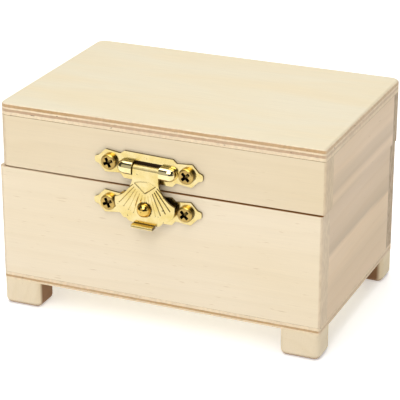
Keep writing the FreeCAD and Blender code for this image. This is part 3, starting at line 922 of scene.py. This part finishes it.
@dataclass
class BrassHardware:
    """The hasp, the hinges and their screws."""

    sheet_edge_mm: float = 0.1
    screw_edge_mm: float = 0.12
    sheet_mm: float = 0.8
    flap_out_mm: float = 2.45
    tab_reach_mm: float = 3.0
    tab_seam_mm: float = 0.6
    head_mm: float = 3.0
    plain_pieces: tuple[str, ...] = (
        "hasp_pin",
        "hinge_left_lid_leaf",
        "hinge_left_base_leaf",
        "hinge_left_pin",
        "hinge_right_lid_leaf",
        "hinge_right_base_leaf",
        "hinge_right_pin",
    )
    screws: tuple[str, ...] = ("hasp_lid_screws", "hasp_base_screws", "hinge_lid_screws", "hinge_base_screws")
    ear_start_mm: float = 5.02
    ear_straight_mm: float = 2.6
    ear_nose_mm: float = 3.15
    ear_radius_mm: float = 2.5
    ear_bluntness: float = 2.4
    ear_rings: int = 14
    ear_sides: int = 48
    ear_back_mm: float = 0.4
    ear_sharp_deg: float = 40.0

    def dress_sheet(self) -> None:
        """Gives the pressed pieces their plating, with a painted dark reflection on the rim of the sheet that
        lies on the front.
        """
        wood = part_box("base_front")[0].y
        sheet = self.sheet_mm * MM
        for node in ("hasp_lid_plate", "hasp_base_plate"):
            # Painted dark reflection on the rim of each plate.
            finish = PlatedBrass(rim_m=(wood - sheet, wood))
            dress(node, finish.material("plated_brass_" + node), self.sheet_edge_mm)
        back = wood - self.flap_out_mm * MM
        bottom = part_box("hasp_flap")[0].z
        # Painted shade in the crease of the tab, and painted dark reflections on its ends and in the seam of
        # its lip.
        tab = FoldedTab(bottom + self.tab_reach_mm * MM, back - sheet, bottom + self.tab_seam_mm * MM)
        # Painted gold reflection on the flap's upper sides below the top of the tab.
        flap = PlatedBrass(rim_m=(back - sheet, back), corner_share=0.2, reflection_below_m=tab.top_m, tab=tab)
        dress("hasp_flap", flap.material("plated_brass_hasp_flap"), self.sheet_edge_mm)
        # Turned from solid brass: a deeper yellow, and smoother than the sheet.
        turned = PlatedBrass(bright="DCBC66", dull="BE9444", roughness=0.12)
        dress("hasp_stud", turned.material("turned_brass"), self.sheet_edge_mm)
        plain = PlatedBrass().material("plated_brass")
        for node in self.plain_pieces:
            dress(node, plain, self.sheet_edge_mm)

    def dress_screws(self) -> None:
        """Gives the screws their darker, duller plating, with a painted gold reflection on the upper side of
        the heads.
        """
        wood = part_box("base_front")[0].y
        # Thin brass plating: browner and duller than the sheet, with painted shade black in the cross of the
        # head and a painted dark reflection on the rim of the head.
        plating = PlatedBrass(
            rim_m=(wood - self.head_mm * MM, wood),
            rim_share=0.8,
            rim_lit_above=True,
            reflection_below_m=CAD_BOX[1][2],
            bright="C2A45E",
            dull="9E8350",
            roughness=0.3,
            tarnish_and_shade="120C05",
            corner_mm=1.4,
            corner_open=(0.75, 0.99),
            corner_share=1.0,
        ).material("dull_brass_screw")
        for node in self.screws:
            dress(node, plating, self.screw_edge_mm)

    def ear_profile(self) -> list[Span]:
        """Draws the outline of an ear: straight at first, then rounding over to its tip.

        Returns:
            The reach from the middle of the pin and the radius of each ring, in metres.
        """
        shoulder = self.ear_start_mm + self.ear_straight_mm
        profile = [(self.ear_start_mm * MM, self.ear_radius_mm * MM)]
        for step in range(self.ear_rings):
            share = math.sin(math.pi / 2 * step / self.ear_rings)
            radius = self.ear_radius_mm * (1 - share**self.ear_bluntness) ** (1 / self.ear_bluntness)
            profile.append(((shoulder + share * self.ear_nose_mm) * MM, radius * MM))
        return profile

    def ear_shell(self, middle: Vector, along: Vector) -> bmesh.types.BMesh:
        """Turns the blunt nose that is pressed over one end of the pin.

        Args:
            middle: middle of the pin.
            along: direction from there to this end of the pin.

        Returns:
            The closed shell of the whole nose.
        """
        shell = bmesh.new()
        front = Vector((0.0, -1.0, 0.0))
        up = along.cross(front)
        turns = [2 * math.pi * side / self.ear_sides for side in range(self.ear_sides)]
        spokes = [front * math.cos(turn) + up * math.sin(turn) for turn in turns]
        rings = [
            [shell.verts.new(middle + along * reach + spoke * radius) for spoke in spokes]
            for reach, radius in self.ear_profile()
        ]
        length = self.ear_start_mm + self.ear_straight_mm + self.ear_nose_mm
        tip = shell.verts.new(middle + along * length * MM)
        shell.faces.new(rings[0])
        for side in range(self.ear_sides):
            beside = (side + 1) % self.ear_sides
            for ring, following in zip(rings, rings[1:]):
                shell.faces.new((ring[side], ring[beside], following[beside], following[side]))
            shell.faces.new((rings[-1][side], rings[-1][beside], tip))
        return shell

    def add_ear(self, name: str, middle: Vector, along: Vector) -> bpy.types.Object:
        """Adds one ear of the lid plate, cut off and closed at the back inside the sheet.

        Args:
            name: name of the piece.
            middle: middle of the pin.
            along: direction from there to this end of the pin.

        Returns:
            The new piece.
        """
        shell = self.ear_shell(middle, along)
        back = (0.0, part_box("lid_front")[0].y - self.ear_back_mm * MM, 0.0)
        whole = [*shell.verts, *shell.edges, *shell.faces]
        bmesh.ops.bisect_plane(shell, geom=whole, plane_co=back, plane_no=(0.0, 1.0, 0.0), clear_outer=True)
        bmesh.ops.holes_fill(shell, edges=[edge for edge in shell.edges if edge.is_boundary])
        bmesh.ops.recalc_face_normals(shell, faces=shell.faces)
        for face in shell.faces:
            face.smooth = True
        for edge in shell.edges:
            edge.smooth = edge.calc_face_angle(0.0) < math.radians(self.ear_sharp_deg)
        mesh = bpy.data.meshes.new(name)
        shell.to_mesh(mesh)
        shell.free()
        ear = bpy.data.objects.new(name, mesh)
        bpy.context.scene.collection.objects.link(ear)
        return ear

    def add_ears(self) -> None:
        """Adds and dresses the polished ears of the lid plate, over both ends of the pin."""
        hinge = next(joint for joint in frame["joints"] if joint["name"] == "flap_hinge")
        middle, left = Vector(hinge["pos_m"]), Vector(hinge["axis"])
        # Polished brass: paler than the sheet, and almost a mirror.
        polished = PlatedBrass(bright="EEE2B4", dull="E0CC8C", roughness=0.07).material("polished_brass")
        for side, along in (("left", left), ("right", -left)):
            ear = self.add_ear("hasp_ear_" + side, middle, along)
            ear.data.materials.append(polished)
            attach(ear, "lid")
            LOG.info("added %s in %s", ear.name, polished.name)


@dataclass(frozen=True)
class SoftLight:
    """One soft square studio light."""

    name: str
    place_mm: Triple
    size_mm: float
    power_w: float

    def add(self, aim_mm: Triple) -> None:
        """Adds the light.

        Args:
            aim_mm: what it faces.
        """
        data = bpy.data.lights.new(self.name, "AREA")
        data.size = self.size_mm * MM
        data.energy = self.power_w
        light = bpy.data.objects.new(self.name, data)
        place = Vector(self.place_mm) * MM
        turn = (Vector(aim_mm) * MM - place).to_track_quat("-Z", "Y")
        light.matrix_world = Matrix.Translation(place) @ turn.to_matrix().to_4x4()
        bpy.context.scene.collection.objects.link(light)


@dataclass
class Studio:
    """White floor, soft lights and the camera of the photograph."""

    azimuth_deg: float = 23.188
    elevation_deg: float = 22.217
    roll_deg: float = -0.021
    distance_mm: float = 651.6
    slide_right_mm: float = -0.51
    slide_up_mm: float = -5.145
    aim_mm: Triple = (-0.4, 1.325, 40.0)
    focal_px: float = 1813.8
    frame_px: float = 400.0
    sensor_mm: float = 36.0
    clip_start_mm: float = 10.0
    floor_half_mm: float = 6000.0
    surround: float = 0.06
    lit_mm: Triple = (0.0, 0.0, 40.0)
    lights: tuple[SoftLight, ...] = (
        SoftLight("overhead_light", (-100, 100, 950), 900, 7.6),
        SoftLight("key_light", (60, -700, 840), 600, 5.0),
        SoftLight("front_card", (-360, -860, 420), 800, 1.05),
        SoftLight("right_light", (900, -100, 300), 600, 0.6),
        SoftLight("back_light", (-150, 950, 480), 700, 1.8),
    )

    def add_floor(self) -> None:
        """Adds a plain white floor under the feet."""
        half = self.floor_half_mm * MM
        corners = [(-half, -half, 0), (half, -half, 0), (half, half, 0), (-half, half, 0)]
        mesh = bpy.data.meshes.new("studio_floor")
        mesh.from_pydata(corners, [], [(0, 1, 2, 3)])
        mesh.materials.append(StudioPaper().material("white_studio_paper"))
        floor = bpy.data.objects.new("studio_floor", mesh)
        bpy.context.scene.collection.objects.link(floor)

    def add_lights(self) -> None:
        """Adds the overhead, key and side lights, a dim card in front and a dark surround."""
        for light in self.lights:
            light.add(self.lit_mm)
        world = bpy.context.scene.world or bpy.data.worlds.new("studio")
        bpy.context.scene.world = world
        board = NodeBoard(world)
        board.add("OutputWorld", [board.add("Background", {"Color": grey(1.0), "Strength": self.surround})])

    def add_camera(self) -> None:
        """Adds the camera at the photograph's angle."""
        az, el, roll = (math.radians(a) for a in (self.azimuth_deg, self.elevation_deg, self.roll_deg))
        back = Vector((math.sin(az) * math.cos(el), -math.cos(az) * math.cos(el), math.sin(el)))
        right = Vector((math.cos(az), math.sin(az), 0.0))
        up = back.cross(right)
        slide = right * self.slide_right_mm + up * self.slide_up_mm
        place = (Vector(self.aim_mm) + back * self.distance_mm + slide) * MM
        rolled_right = right * math.cos(roll) + up * math.sin(roll)
        rolled_up = up * math.cos(roll) - right * math.sin(roll)
        turn = Matrix((rolled_right, rolled_up, back)).transposed().to_4x4()
        data = bpy.data.cameras.new("photo_camera")
        data.sensor_width = self.sensor_mm
        data.lens = self.sensor_mm * self.focal_px / self.frame_px
        data.clip_start = self.clip_start_mm * MM
        camera = bpy.data.objects.new("photo_camera", data)
        camera.matrix_world = Matrix.Translation(place) @ turn
        bpy.context.scene.collection.objects.link(camera)
        bpy.context.scene.camera = camera

    def build(self) -> None:
        """Sets the stage."""
        self.add_floor()
        self.add_lights()
        self.add_camera()
        bpy.context.scene.view_settings.view_transform = "Standard"


def main() -> None:
    """Dresses the box and sets the stage, in order."""
    logging.basicConfig(level=logging.INFO, format="%(message)s")
    case = WoodenCase()
    case.dress_boards()
    case.dress_panels()
    hardware = BrassHardware()
    hardware.dress_sheet()
    hardware.dress_screws()
    hardware.add_ears()
    Studio().build()


if __name__ == "__main__":
    main()
